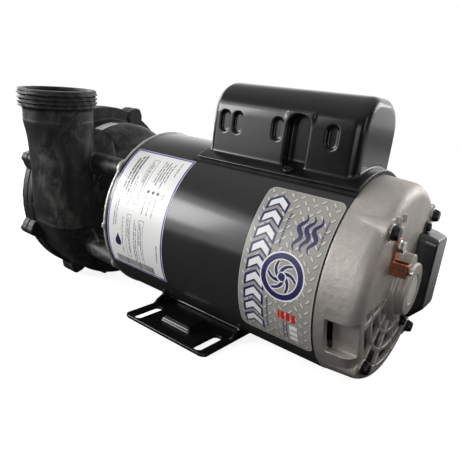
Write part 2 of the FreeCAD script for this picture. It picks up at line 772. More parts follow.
def rear_endbell():
    bell = bell_blank()
    face = dims.bell_face_x
    boss_front = dims.shell_rear + 2.0
    pad(bell, YZ, through_bolt_circles, (dims.bolt_boss_radius,),
        at=boss_front, length=dims.bolt_boss_x - boss_front)
    bell_vents(bell)
    bell_scoops(bell)
    # round lobe on the hub, two cast bars and a small round boss
    pad(bell, YZ, circle, (-9.0, 21.5, 8.5), at=face - 2.0, length=dims.lobe_x - face + 2.0)
    pad(bell, YZ, rect, (-42.6, -40.6, 55.0, 60.6), (-32.0, -30.0, 56.2, 61.8),
        at=face - 0.5, length=2.6)
    pad(bell, YZ, circle, (-29.0, 49.6, 2.3), at=face - 0.5, length=1.4)
    # solid pad under the terminal cover's lower ear
    pad(bell, YZ, circle,
        (dims.terminal_low_y, dims.terminal_low_z, dims.terminal_ear_radius + 0.6),
        at=face - dims.bell_wall, length=dims.bell_wall)
    # spot faces for the through bolts' washers, then the bolt holes
    pocket(bell, YZ, through_bolt_circles, (dims.spot_face_radius,),
           at=dims.bolt_boss_x, length=6.0, flip=True)
    pocket(bell, YZ, through_bolt_circles, (dims.bolt_hole_radius,),
           at=dims.shell_rear - 8.0, length=40.0, flip=True)
    # opening behind the terminal cover
    pocket(bell, YZ, rect, (dims.terminal_left + 12.0, dims.terminal_right - 9.0,
                            dims.terminal_bottom + 12.0, dims.terminal_top - 9.0),
           at=face - 8.0, length=12.0, flip=True)
    # tapped holes: bonding screw and terminal cover screws
    pocket(bell, YZ, circle, (dims.lug_screw_y, dims.lug_screw_z, 2.05),
           (dims.terminal_screw_y, dims.terminal_screw_z, 1.65),
           (dims.terminal_low_y, dims.terminal_low_z, 1.65),
           at=face - 8.0, length=12.0, flip=True)


# ------------------------------------------------------- wave washer, hub cap
def wave_washer():
    ring("wave_washer", REAR_BEARING_BACK + 0.4, REAR_BEARING_BACK + 1.2, 16.5, 19.6)


def hub_cap():
    floor, top = dims.hub_face_x - 4.6, dims.hub_face_x - 0.3
    bevel_radius = dims.hub_cap_radius - 1.4
    cap = turned("hub_cap", [
        (floor, 0.0), (floor, dims.hub_cap_radius),
        (dims.hub_face_x - 0.9, dims.hub_cap_radius), (top, bevel_radius), (top, 0.0)])
    fillet(cap, ring_edge(top, bevel_radius), 0.4)


# ------------------------------------------------------------- through bolts
def long_bolt(angle):
    start = num.bracket_plate_back - 2.8
    seat = num.bolt_boss_x + num.washer_thickness
    flats, height = num.through_bolt_head_flats, num.through_bolt_head_height
    _, y, z = around(seat, num.bolt_circle_radius, angle)
    shank = rod(num.through_bolt_radius, seat - start, start, y, z)
    head = hexagon(seat, y, z, flats, height, 20.0)
    dome = Part.makeCone(flats * 0.62, flats * 0.45, height, Vector(seat, y, z), X)
    return shank.fuse(head.common(dome))


def bolt_washer(angle):
    return tube(num.washer_radius, num.through_bolt_radius + 0.1, num.washer_thickness,
                *around(num.bolt_boss_x, num.bolt_circle_radius, angle))


def through_bolts():
    feature("through_bolts", Part.makeCompound([long_bolt(a) for a in BOLT_ANGLES]))
    feature("through_bolt_washers", Part.makeCompound([bolt_washer(a) for a in BOLT_ANGLES]))


# ---------------------------------------------------------------------- foot
# (y, z) outline of a saddle plate above the foot plate; its top is cut to the shell
SADDLE_OUTLINE = [
    (40.0, -82.6), (33.0, -79.5), (32.0, -77.0), (37.0, -71.0),
    (-37.0, -71.0), (-32.0, -77.0), (-33.0, -79.5), (-40.0, -82.6)]


def foot_base():
    foot = make_body("foot_base")
    floor = -dims.shaft_height
    top = floor + dims.foot_thickness
    length, width = dims.foot_half_length, dims.foot_half_width
    pad(foot, XY, rect, (-length, length, -width, width), at=floor, length=dims.foot_thickness)
    fillet(foot, line_edge(Z), dims.foot_corner_radius)
    raised = [(-dims.emboss_half_length, dims.emboss_half_length,
               side * dims.emboss_y - dims.emboss_half_width,
               side * dims.emboss_y + dims.emboss_half_width) for side in SIDES]
    pad(foot, XY, rect, *raised, at=top - 1.0, length=dims.emboss_height + 1.0)
    emboss_top = (top + dims.emboss_height).value
    chamfer(foot, lambda edge: abs(local(edge.CenterOfMass).z - emboss_top) < 0.01, 2.5)
    root = top - 0.5
    for side in (1.0, -1.0):
        pad(foot, YZ, loop, [(-44.0, root), (44.0, root)] + SADDLE_OUTLINE,
            at=side * dims.saddle_x - dims.saddle_thickness / 2.0,
            length=dims.saddle_thickness)
    # two rails between the saddles
    pad(foot, XY, rect, (-dims.saddle_x, dims.saddle_x, -20.0, -17.0),
        (-dims.saddle_x, dims.saddle_x, 17.0, 20.0), at=root, length=8.0)
    groove(foot, rect, (-length - 5.0, length + 5.0, 0.0, dims.shell_radius + dims.fit_gap))
    slots = [(side_x * dims.foot_slot_x, side_y * dims.foot_slot_y,
              dims.foot_slot_length / 2.0 - dims.foot_slot_half_width,
              dims.foot_slot_half_width) for side_x, side_y in CORNERS]
    pocket(foot, XY, slot, *slots, at=floor - 1.0, length=dims.foot_thickness + 2.0, flip=True)


# ----------------------------------------------------------- capacitor cover
FLANGE_INSIDE = dims.shell_radius + dims.gasket_thickness + dims.fit_gap
FLANGE_OUTSIDE = FLANGE_INSIDE + dims.cover_flange_thickness
FIRST_DIMPLE_X = 7.8
DIMPLE_XS = (21.3, 61.2, 109.4)


def cover_side(cover, side):
    # walls of the screw groove and the dimples on one side, then the hollows themselves
    on_left = side < 0
    half = dims.cover_half_width
    groove_x, depth = dims.screw_groove_x, dims.screw_groove_depth + 2.0
    bottom, top = dims.screw_groove_bottom, dims.screw_groove_top
    wall = dims.screw_groove_half_width + 2.2
    pad(cover, XZ, rect, (groove_x - wall, groove_x + wall, bottom, top + wall),
        at=-side * half, length=depth, flip=on_left)
    pocket(cover, XZ, slot, (groove_x, (top + bottom) / 2.0, (top - bottom) / 2.0,
                             dims.screw_groove_half_width),
           at=-side * (half + 2.0), length=depth, flip=not on_left)

    def dimples(places, radius):
        middle = (dims.dimple_bottom + dims.dimple_top) / 2.0
        reach = (dims.dimple_top - dims.dimple_bottom) / 2.0
        return [(x, middle, reach, radius) for x in places]

    for places in (DIMPLE_XS, (FIRST_DIMPLE_X,)):
        pad(cover, XZ, slot, *dimples(places, dims.dimple_radius + 1.6),
            at=-side * (half - 1.0), length=dims.dimple_depth + 0.6, flip=on_left)
    pocket(cover, XZ, slot, *dimples((FIRST_DIMPLE_X,) + DIMPLE_XS, dims.dimple_radius),
           at=-side * (half + 2.0), length=dims.dimple_depth + 2.0, flip=not on_left)


def capacitor_cover():
    cover = make_body("capacitor_cover")
    half, front, rear = dims.cover_half_width, dims.cover_front, dims.cover_rear
    half_angle = dims.cover_flange_angle / 2.0
    bottom = 55.0
    pad(cover, XY, rect, (front, rear, -half, half), at=bottom, length=dims.cover_top - bottom)
    fillet(cover, line_edge(X, lambda point: point.z > 100), dims.cover_corner_radius)

    def end_edge(edge):
        place = local(edge.CenterOfMass)
        return place.z > 60 and min(abs(place.x - front.value), abs(place.x - rear.value)) < 0.01

    fillet(cover, end_edge, dims.cover_end_radius)
    revolve(cover, rect,
            (dims.cover_flange_front, dims.cover_flange_rear, FLANGE_INSIDE, FLANGE_OUTSIDE),
            turn=-half_angle, angle=dims.cover_flange_angle)
    # hollow inside
    pocket(cover, YZ, arch, (half - dims.cover_wall, 20.0, dims.cover_top - dims.cover_wall,
                             dims.cover_corner_radius - dims.cover_wall + 0.5),
           at=front + dims.cover_end_wall, length=rear - front - 2.0 * dims.cover_end_wall,
           flip=True)
    for side in SIDES:
        cover_side(cover, side)
    # restore the flange across the groove mouths
    patch_half, patch_angle = 13.0, 16.0
    for turn in (-half_angle, half_angle - patch_angle):
        revolve(cover, rect, (dims.screw_groove_x - patch_half, dims.screw_groove_x + patch_half,
                              FLANGE_INSIDE, FLANGE_OUTSIDE), turn=turn, angle=patch_angle)
    groove(cover, rect, (dims.cover_flange_front - 5.0, dims.cover_flange_rear + 5.0,
                         0.0, FLANGE_INSIDE))
    radial_holes(cover, dims.cover_screw_hole_radius, 100.0)


def cover_gasket():
    # a little wider than the cover's flange
    gasket = make_body("cover_gasket")
    turn = dims.cover_flange_angle / 2.0 + 2.0
    revolve(gasket, rect, (dims.cover_flange_front - dims.gasket_extra,
                           dims.cover_flange_rear - 0.5, dims.shell_radius + dims.fit_gap,
                           dims.shell_radius + dims.gasket_thickness),
            turn=-turn, angle=turn * 2.0)
    opening = dims.cover_half_width - dims.cover_wall - 9.0
    pocket(gasket, XY, rect, (dims.cover_front + dims.cover_end_wall,
                              dims.cover_rear - dims.cover_end_wall, -opening, opening),
           at=20.0, length=80.0, flip=True)
    radial_holes(gasket, dims.cover_screw_hole_radius, 100.0)


def radial_screw(angle):
    # pan-head screw standing square to the shell at an angle from the top
    x, seat = num.screw_groove_x, FLANGE_OUTSIDE.value
    radius, height, reach = 4.2, 2.6, 8.0
    shank = Part.makeCylinder(2.0, reach, Vector(x, 0, seat - reach), Z)
    head = Part.makeCylinder(radius, height, Vector(x, 0, seat), Z)
    rim = [edge for edge in head.Edges if isinstance(edge.Curve, Part.Circle)
           and edge.CenterOfMass.z > seat + height - 0.01]
    head = head.makeFillet(height * 0.45, rim)
    notch = Part.makeBox(radius * 2, 1.0, height, Vector(x - radius, -0.5, seat + height * 0.5))
    return shank.fuse(head.cut(notch)).rotated(ORIGIN, X, angle)


def capacitor_cover_screws():
    angle = num.cover_screw_angle
    feature("capacitor_cover_screws",
            Part.makeCompound([radial_screw(-angle), radial_screw(angle)]))


# ---------------------------------------------------------------- capacitors
CAN_TAB_Y = 5.2


def capacitor(label, radius, height):
    can = make_body(label)
    cap_front = dims.can_front + dims.can_length
    pad(can, YZ, circle, (0.0, height, radius), at=dims.can_front, length=dims.can_length)
    pad(can, YZ, circle, (0.0, height, radius - 2.0), at=cap_front, length=dims.can_cap_length)
    tabs = [(side * CAN_TAB_Y - 0.4, side * CAN_TAB_Y + 0.4, height - 3.0, height + 3.0)
            for side in SIDES]
    pad(can, YZ, rect, *tabs, at=cap_front + dims.can_cap_length, length=6.0)


def capacitors():
    capacitor("start_capacitor", dims.start_can_radius, dims.start_can_height)
    capacitor("run_capacitor", dims.run_can_radius, dims.run_can_height)


def capacitor_leads():
    wire_radius, bottom = 1.3, 52.0
    start_x = num.can_front + num.can_length + 8.9
    wires = []
    for height, drop_x in ((num.start_can_height, 117.0), (num.run_can_height, 121.5)):
        for tab_y in (-CAN_TAB_Y, CAN_TAB_Y):
            start = Vector(start_x, tab_y, height)
            corner = Vector(drop_x, tab_y * 0.55, height)
            down = Vector(drop_x, tab_y * 0.55, bottom)
            runs = [Part.makeCylinder(wire_radius, (b - a).Length, a, b - a)
                    for a, b in ((start, corner), (corner, down))]
            bend = Part.makeSphere(wire_radius, corner)
            wires.append(runs[0].fuse([runs[1], bend]).removeSplitter())
    feature("capacitor_leads", Part.makeCompound(wires))


# --------------------------------------------------------------- thin labels
def label_sheet(name, front, rear, top_angle, bottom_angle, corner):
    # angles are above the horizontal on the riser side of the motor
    body = make_body(name)
    inner = dims.shell_radius + dims.label_gap
    revolve(body, rect, (front, rear, inner, inner + dims.label_thickness),
            turn=90.0 - top_angle, angle=top_angle - bottom_angle)
    fillet(body, lambda edge: (isinstance(edge.Curve, Part.Line) and edge.Length < 1.0
                               and abs(edge.Curve.Direction.x) < 0.01), corner)


def labels():
    label_sheet("rating_label", dims.rating_front, dims.rating_rear, dims.rating_top_angle,
                dims.rating_bottom_angle, dims.rating_corner_radius)
    label_sheet("badge_label", dims.badge_front, dims.badge_rear, dims.badge_top_angle,
                dims.badge_bottom_angle, dims.badge_corner_radius)


# ------------------------------------------------- terminal cover and board
def rounded_wire(x, left, right, bottom, top, radius):
    points = []
    for y, z, first in ((right - radius, top - radius, 0.0), (left + radius, top - radius, 90.0),
                        (left + radius, bottom + radius, 180.0),
                        (right - radius, bottom + radius, 270.0)):
        for k in range(3):
            _, side, up = around(x, radius, first + 45.0 * k)
            points.append(Vector(x, y + side, z + up))
    edges = []
    for i in range(4):
        begin, middle, end = points[3 * i:3 * i + 3]
        edges.append(Part.Arc(begin, middle, end).toShape())
        edges.append(Part.makeLine(end, points[(3 * i + 3) % 12]))
    return Part.Wire(edges)


TERMINAL_X = num.bell_face_x + num.fit_gap
# stations: x from the cover's open side, then inset at left, right, bottom, top, corner radius
TERMINAL_OUTSIDE = [
    (0.0, 0.0, 0.0, 0.0, 0.0, 6.0),
    (6.0, 0.8, 0.7, 1.0, 0.5, 6.0),
    (num.terminal_depth, 3.4, 2.8, 11.0, 3.4, 5.0)]
TERMINAL_INSIDE = [
    (-1.0, 0.0, 0.0, 0.0, 0.0, 4.0),
    (6.0, 0.8, 0.7, 1.0, 0.5, 4.0),
    (num.terminal_depth - 3.0, 3.2, 2.6, 10.0, 3.0, 3.0)]
# (y, z, how far the tongue to the cover starts below the ear's centre)
TERMINAL_EARS = [(num.terminal_screw_y, num.terminal_screw_z, 7.0),
                 (num.terminal_low_y, num.terminal_low_z, 0.0)]


def terminal_loft(stations, wall):
    wires = [rounded_wire(TERMINAL_X + x, num.terminal_left + left + wall,
                          num.terminal_right - right - wall,
                          num.terminal_bottom + bottom + wall,
                          num.terminal_top - top - wall, radius)
             for x, left, right, bottom, top, radius in stations]
    return Part.makeLoft(wires, True, True)


def terminal_cover():
    cover = terminal_loft(TERMINAL_OUTSIDE, 0.0)
    outer_face = TERMINAL_X + num.terminal_depth
    rim = [edge for edge in cover.Edges if abs(edge.CenterOfMass.x - outer_face) < 0.01]
    cover = cover.makeFillet(2.6, rim)
    inside = terminal_loft(TERMINAL_INSIDE, num.terminal_wall)
    radius, thick = num.terminal_ear_radius, num.terminal_ear_thickness
    ears = []
    for y, z, drop in TERMINAL_EARS:
        ears.append(rod(radius, thick, TERMINAL_X, y, z))
        ears.append(Part.makeBox(thick, 2 * radius, 7.0,
                                 Vector(TERMINAL_X, y - radius, z - drop)))
    holes = [rod(1.9, 6.0, TERMINAL_X - 1.0, y, z) for y, z, _ in TERMINAL_EARS]
    hub_room = rod(num.hub_tier_radius + 0.06, num.hub_tier_x - num.bell_face_x + 1.05,
                   num.bell_face_x - 1.0)
    feature("terminal_cover", largest(cover.fuse(ears).cut([inside] + holes + [hub_room])))


def axial_screw(x, y, z, turn):
    radius, height, reach = 3.6, 2.8, 7.5
    head = rod(radius, height, x, y, z)
    rim = [edge for edge in head.Edges if isinstance(edge.Curve, Part.Circle)
           and edge.CenterOfMass.x > x + height - 0.01]
    head = head.makeFillet(height * 0.4, rim)
    notch = Part.makeBox(height, radius * 2, 0.9, Vector(x + height * 0.5, y - radius, z - 0.45))
    notch = notch.rotated(Vector(x, y, z), X, turn)
    return rod(1.6, reach, x - reach, y, z).fuse(head.cut(notch))


def terminal_cover_screws():
    seat = TERMINAL_X + num.terminal_ear_thickness
    screws = [axial_screw(seat, y, z, turn)
              for (y, z, _), turn in zip(TERMINAL_EARS, (25.0, -40.0))]
    feature("terminal_cover_screws", Part.makeCompound(screws))


def terminal_board():
    board = make_body("terminal_board")
    pad(board, YZ, rect, (dims.terminal_left + 10.0, dims.terminal_right - 6.0,
                          dims.terminal_bottom + 10.0, dims.terminal_top - 7.0),
        at=dims.bell_face_x - 9.0, length=3.0)
    # four rows of two flat tabs
    tabs = [(y, y + 6.3, z, z + 0.9) for z in (-14.0, -3.0, 8.0, 19.0) for y in (34.0, 43.0)]
    pad(board, YZ, rect, *tabs, at=dims.bell_face_x - 6.5, length=8.0)


def start_switch():
    switch = make_body("start_switch")
    pad(switch, YZ, rect, (-62.0, -34.0, -14.0, 14.0), at=dims.shell_rear + 3.0, length=5.0)
    pad(switch, YZ, rect, (-40.0, -19.5, -4.0, 4.0), at=dims.shell_rear + 1.5, length=2.5)


# -------------------------------------------------- governor on the shaft
PIN_X, PIN_Z = 106.0, 25.0


def governor_plate():
    bore = dims.shaft_shoulder_radius + dims.fit_gap
    plate = turned("governor_plate", [
        (96.0, bore), (104.0, bore), (104.0, 16.0), (98.0, 16.0), (98.0, 30.0), (96.0, 30.0)])
    # a pair of cheeks for each weight's pin
    cheeks = [(y, y + 2.0, side * 24.5 - 3.5, side * 24.5 + 3.5)
              for side in SIDES for y in (-9.0, 7.0)]
    pad(plate, YZ, rect, *cheeks, at=97.0, length=12.0)
    pocket(plate, XZ, circle, (PIN_X, PIN_Z, 1.3), (PIN_X, -PIN_Z, 1.3), length=30.0, both=True)


def governor_weights():
    weights = make_body("governor_weights")
    blocks = [(103.0, 116.0, side * 25.5 - 2.4, side * 25.5 + 2.4) for side in SIDES]
    pad(weights, XZ, rect, *blocks, length=13.4, both=True)
    pins = [(PIN_X, side * PIN_Z, 1.25) for side in SIDES]
    pad(weights, XZ, circle, *pins, length=20.0, both=True)


def governor_collar():
    bore = dims.shaft_shoulder_radius + 0.05
    turned("governor_collar", [
        (118.5, bore), (141.3, bore), (141.3, 21.0), (139.3, 21.0),
        (139.3, 15.0), (121.0, 15.0), (121.0, 19.0), (118.5, 19.0)])


# ---------------------------------------------------------------- bonding lug
def ground_lug():
    # flat strap on the bell's face with an upright rectangular loop for the wire
    lug = make_body("ground_lug")
    back = dims.bell_face_x + dims.fit_gap
    thick = dims.lug_strap_thickness
    near, far = dims.lug_near_y, dims.lug_near_y - dims.lug_width
    bottom, height, depth = dims.lug_box_bottom, dims.lug_box_height, dims.lug_box_depth
    pad(lug, YZ, rect, (far, near, bottom, dims.lug_strap_top), at=back, length=thick)
    fillet(lug, line_edge(X, lambda point: point.z > num.lug_strap_top - 0.1), 4.0)
    pad(lug, YZ, rect, (far, near, bottom, bottom + height),
        at=back + thick - 0.2, length=depth + 0.2)
    fillet(lug, line_edge(Z, lambda point: point.x > num.bell_face_x + 5.0), 1.8)
    pocket(lug, XY, rect, (back + thick, back + depth, far + thick, near - thick),
           at=bottom - 1.0, length=height + 2.0, flip=True)
    pocket(lug, YZ, circle, (dims.lug_screw_y, dims.lug_screw_z, 2.2),
           at=back - 1.0, length=4.0, flip=True)
    pocket(lug, YZ, circle, (near - dims.lug_width / 2.0, dims.clamp_screw_z, 2.06),
           at=back + 6.0, length=10.0, flip=True)


STRAP_FACE = num.bell_face_x + num.fit_gap + num.lug_strap_thickness + 0.01


def ground_lug_screw():
    y, z = num.lug_screw_y, num.lug_screw_z
    feature("ground_lug_screw", rod(2.0, 9.0, STRAP_FACE - 9.0, y, z).fuse([
        rod(4.7, 0.9, STRAP_FACE, y, z), hexagon(STRAP_FACE + 0.8, y, z, 7.6, 3.2, 12.0)]))


def ground_clamp_screw():
    y, z = num.lug_near_y - num.lug_width / 2.0, num.clamp_screw_z
    seat = STRAP_FACE + num.lug_box_depth
    screw = rod(2.0, 8.0, seat - 6.6, y, z).fuse(rod(2.9, 2.4, seat, y, z))
    notch = Part.makeBox(1.4, 8.0, 0.9, Vector(seat + 1.3, y - 4.0, z - 0.45))
    feature("ground_clamp_screw", screw.cut(notch))


# ------------------------------------------------------------- volute housing
def clocked(shape):
    return shape.rotated(ORIGIN, X, num.volute_clock)


def scroll_wire(step, inner, shrink, front, back_shrink):
    # one radial section of the scroll at a distance in degrees round its spiral
    part = step / num.scroll_sweep
    angle = num.scroll_start_angle - step
    growth = num.scroll_end_radius - num.scroll_start_radius
    top = num.scroll_start_radius + growth * part - shrink
    back_shift = num.scroll_back_end - num.scroll_back_start
    back = num.scroll_back_start + back_shift * part - back_shrink
    rounding = num.scroll_round_radius + 3.0 * part - shrink * 0.6

    def place(x, radius):
        return Vector(*around(x, radius, angle))

    diagonal = rounding * math.sqrt(0.5)
    start = place(back - rounding, top)
    middle = place(back - rounding + diagonal, top - rounding + diagonal)
    end = place(back, top - rounding)
    return Part.Wire([
        Part.makeLine(place(front, inner), place(front, top)),
        Part.makeLine(place(front, top), start),
        Part.Arc(start, middle, end).toShape(),
        Part.makeLine(end, place(back, inner)),
        Part.makeLine(place(back, inner), place(front, inner))])


def scroll(inner, shrink, front, back_shrink, first=0.0, last=num.scroll_sweep):
    count = 22
    steps = [first + (last - first) * i / count for i in range(count + 1)]
    wires = [scroll_wire(step, inner, shrink, front, back_shrink) for step in steps]
    return Part.makeLoft(wires, True, False)


def port_profile(top, lower):
    # (radius, height) of a threaded spigot: rim land, four buttress ridges, plain tube,
    # then the given lower points
    crest, rim = num.riser_crest_radius, num.riser_rim_radius
    root = rim - 1.5
    z = top - 2.2
    points = [(0.0, top), (rim, top), (rim, z)]
    for i in range(4):
        points += [(root, z - 0.3), (crest, z - 1.8), (crest, z - 2.4), (root, z - 2.8)]
        z -= num.thread_pitch
    return points + [(num.riser_tube_radius, z - 0.5)] + lower + [(0.0, lower[-1][1])]


def oval(height, centre_x, centre_y, half_x, half_y, power):
    # closed smooth section: an ellipse squared off by the power
    points = []
    for k in range(20):
        angle = 2 * math.pi * k / 20
        cos, sin = math.cos(angle), math.sin(angle)
        points.append(Vector(
            centre_x + half_x * math.copysign(abs(cos) ** (2.0 / power), cos),
            centre_y + half_y * math.copysign(abs(sin) ** (2.0 / power), sin), height))
    curve = Part.BSplineCurve()
    curve.interpolate(points, PeriodicFlag=True)
    return Part.Wire([curve.toShape()])


RISER_BASE = Vector(num.riser_x, num.riser_y, 0)
# throat between the scroll and the riser: height, centre x, centre y, half x, half y, power
THROAT = [
    (-16.0, -161.8, -66.8, 33.9, 32.8, 3.0),
    (0.0, -161.8, -68.2, 34.0, 32.8, 3.0),
    (20.0, -161.6, -70.6, 33.6, 32.2, 2.6),
    (40.0, -161.6, -72.4, 33.2, 31.6, 2.3),
    (58.0, -162.6, -73.8, 32.9, 31.7, 2.1),
    (74.0, -163.7, -75.0, 32.5, 31.8, 2.0),
    (83.0, -164.2, -75.6, 32.9, 32.7, 2.0),
    (90.0, num.riser_x, num.riser_y,
     num.riser_tube_radius + 0.35, num.riser_tube_radius + 0.35, 2.0)]


def riser_outside():
    profile = port_profile(num.riser_top, [(num.riser_tube_radius, 88.6)])
    throat = Part.makeLoft([oval(*station) for station in THROAT], True, False)
    return turn_profile(profile, RISER_BASE, Z, X).fuse(throat)


def riser_bore():
    mouth, throat = num.riser_bore_radius, num.riser_throat_radius
    above, floor = num.riser_top + 1.0, num.riser_top - num.riser_bore_depth
    return turn_profile([(0.0, above), (mouth, above), (mouth, floor), (throat, floor - 2.0),
                         (throat, 64.0), (18.0, 6.0), (17.0, -8.0), (0.0, -8.0)],
                        RISER_BASE, Z, X)


def lug_rods(front, back, radius, reach=num.lug_circle_radius):
    return [rod(radius, back - front, *around(front, reach, num.lug_start_angle + 45.0 * i))
            for i in range(8)]


def lug_blocks(front, back):
    # each lug is a wide shoulder with a narrower nose round its screw
    return lug_rods(front, back, num.lug_radius) + lug_rods(
        front, back, num.lug_shoulder_radius, num.lug_shoulder_circle)


def arm_webs(angle):
    # two thin triangles: one away from the horizontal, one towards it
    outward = 1.0 if 90.0 < angle < 180.0 or angle > 270.0 else -1.0
    webs = []
    # (swing from the arm, apex radius, apex x, foot x, thickness)
    for swing, apex_radius, apex_x, foot_x, thick in (
            (-26.0 * outward, 74.0, -141.0, -106.0, 3.0),
            (20.0 * outward, 66.0, -134.0, -108.0, 2.6)):
        near = angle + swing * 0.2
        apex = Vector(*around(apex_x, apex_radius, angle + swing))
        foot = Vector(*around(foot_x, 76.0, near))
        corner = Vector(*around(apex_x, 74.0, near))
        normal = (foot - apex).cross(corner - apex)
        normal.normalize()
        triangle = [point - normal * (thick / 2) for point in (apex, foot, corner)]
        webs.append(polygon_face(triangle).extrude(normal * thick))
    return webs


def volute_arms():
    # four arms out to the motor bracket, their webs, and the room for their bolts
    arms, webs, cuts = [], [], []
    ear_face = num.ear_front - 0.01
    tip = num.ear_circle_radius
    for angle in ARM_ANGLES:
        start = Vector(*around(-145.0, num.arm_root_circle, angle))
        end = Vector(*around(ear_face - 3.0, tip, angle))
        arms.append(Part.makeCone(num.arm_root_radius, num.arm_tip_radius,
                                  (end - start).Length, start, end - start))
        arms.append(rod(num.ear_radius, 5.0, *around(ear_face - 5.0, tip, angle)))
        webs += arm_webs(angle)
        cuts.append(rod(num.ear_bolt_hole_radius + 0.2, 24.0, *around(-108.0, tip, angle)))
        # the bolt's room opens towards the shaft
        room = Part.makeBox(11.0, 40.0, 13.0, Vector(-112.0, tip - 34.3, -6.5))
        cuts.append(room.rotated(ORIGIN, X, angle))
    return arms + webs, cuts


DRAIN_DIRECTION = Vector(*around(0.0, 1.0, num.drain_angle))


def drain_rod(radius, length, reach):
    # a cylinder along the drain, from a distance off the shaft axis
    start = Vector(*around(num.drain_x, reach, num.drain_angle))
    return Part.makeCylinder(radius, length, start, DRAIN_DIRECTION)


def volute_housing():
    front, face, flange_back = num.scroll_front, num.volute_face, num.volute_flange_back
    disc_back, room_radius = -139.5, num.impeller_room_radius
    base_disc = about_x([(front, 20.0), (front, 80.0), (-161.0, 80.0), (-150.0, 77.0),
                         (-143.0, 70.0), (disc_back, 60.0), (disc_back, 20.0)])
    back_wall = about_x([(-145.0, 9.5), (-145.0, 64.0), (num.back_plate_x, 60.0),
                         (num.back_plate_x, 26.0), (num.seal_boss_x, 24.0),
                         (num.seal_boss_x, 9.5)])
    spiral = scroll(inner=35.0, shrink=0.0, front=front, back_shrink=0.0)
    outside = clocked(base_disc.fuse([spiral, riser_outside()]))
    flange = rod(num.flange_radius, flange_back - face, face)
    flange = flange.fuse(lug_blocks(face, flange_back + 2.0))
    arms, arm_cuts = volute_arms()
    drain_boss = drain_rod(9.0, 34.0, num.drain_root)
    housing = outside.fuse([flange, back_wall, drain_boss] + arms)

    # hollow: spiral passage, impeller room, riser bore, seal bore, drain and shaft hole
    passage = scroll(inner=28.0, shrink=num.scroll_wall, front=face - 1.0,
                     back_shrink=num.scroll_wall)
    room = about_x([(face - 1.0, 0.0), (face - 1.0, room_radius), (-149.0, room_radius),
                    (-145.2, 62.0), (-145.2, 0.0)])
    cuts = [clocked(passage), room, clocked(riser_bore()),
            rod(num.seal_bore_radius, 14.0, -146.0),
            drain_rod(5.18, 46.0, num.drain_root), rod(9.5, 60.0, -160.0)]
    cuts += arm_cuts + lug_rods(face - 1.0, flange_back - 0.6, num.cover_screw_radius)
    # nothing stands forward of the joint face inside the cover's outline
    cuts.append(rod(num.flange_radius + 0.1, 30.0, face - 30.0))
    cuts += lug_rods(face - 30.0, face, num.lug_shoulder_radius + 0.1, num.lug_shoulder_circle)
    feature("volute_housing", largest(housing.cut(cuts)))


# -------------------------------------------------------------- suction cover
def suction_cover():
    # front cover with the suction port
    front, back, port_front = num.suction_plate_front, num.volute_face, num.suction_port_front
    cover = rod(num.flange_radius, back - front, front).fuse(lug_blocks(front, back))
    profile = port_profile(-port_front, [(num.riser_tube_radius, -port_front - 24.0),
                                         (44.0, -front - 2.0)])
    port = turn_profile(profile, ORIGIN, -X, Y)
    slope = about_x([(front - 9.0, 20.0), (front - 9.0, 36.0), (front + 1.0, 98.0),
                     (front + 1.0, 20.0)])
    ribs = []
    for i in range(8):
        rib = Part.makeBox(14.0, 3.5, 62.0, Vector(front - 8.0, -1.75, 33.0))
        envelope = about_x([(front - 9.0, 30.0), (front - 9.0, 60.0), (front + 1.0, 98.0),
                            (front + 1.0, 30.0)])
        ribs.append(rib.rotated(ORIGIN, X, 45.0 * i).common(envelope))
    cover = cover.fuse([port, slope] + ribs)
    # collar round the wear ring
    cover = cover.fuse(about_x([(back - 1.0, 29.0), (back - 1.0, 34.5), (back + 14.0, 33.5),
                                (back + 14.0, 29.0)]))
    oring_groove = about_x([(back - 2.3, 92.6), (back - 2.3, 96.0), (back + 1.0, 96.0),
                            (back + 1.0, 92.6)])
    cover = cover.cut([rod(num.suction_bore_radius, 90.0, port_front - 1.0),
                       rod(num.wear_ring_outer_radius + num.fit_gap, 24.0, back - 6.0),
                       oring_groove]
                      + lug_rods(front - 12.0, back + 1.0, num.cover_screw_radius + 0.2))
    feature("suction_cover", largest(cover))


def wear_ring():
    back = dims.volute_face + 14.0
    wear = ring("wear_ring", dims.volute_face - 5.5, back, dims.wear_ring_bore_radius,
                dims.wear_ring_outer_radius)
    chamfer(wear, ring_edge(back, dims.wear_ring_bore_radius), 0.6)


def cover_oring():
    front, back = dims.volute_face - 2.25, dims.volute_face - dims.fit_gap
    inner, outer = 93.0, 95.6
    oring = ring("cover_oring", front, back, inner, outer)
    for x in (front, back):
        for radius in (inner, outer):
            fillet(oring, ring_edge(x, radius), 0.9)


def cover_screw(angle):
    front = num.suction_plate_front
    _, y, z = around(front, num.lug_circle_radius, angle)
    shank = rod(2.5, num.volute_flange_back - 1.2 - front, front, y, z)
    return shank.fuse([hexagon(front - 4.0, y, z, 9.5, 4.0, 10.0),
                       rod(6.0, 1.2, front - 1.2, y, z)])


def volute_bolt(angle):
    _, y, z = around(0.0, num.ear_circle_radius, angle)
    shank = rod(num.ear_bolt_hole_radius - 0.1, 15.9, -101.0, y, z)
    return shank.fuse(hexagon(-106.3, y, z, 11.0, 5.3, angle + 30.0))


def wet_end_fasteners():
    screws = [cover_screw(num.lug_start_angle + 45.0 * i) for i in range(8)]
    feature("cover_screws", Part.makeCompound(screws))
    feature("volute_bolts", Part.makeCompound([volute_bolt(a) for a in ARM_ANGLES]))


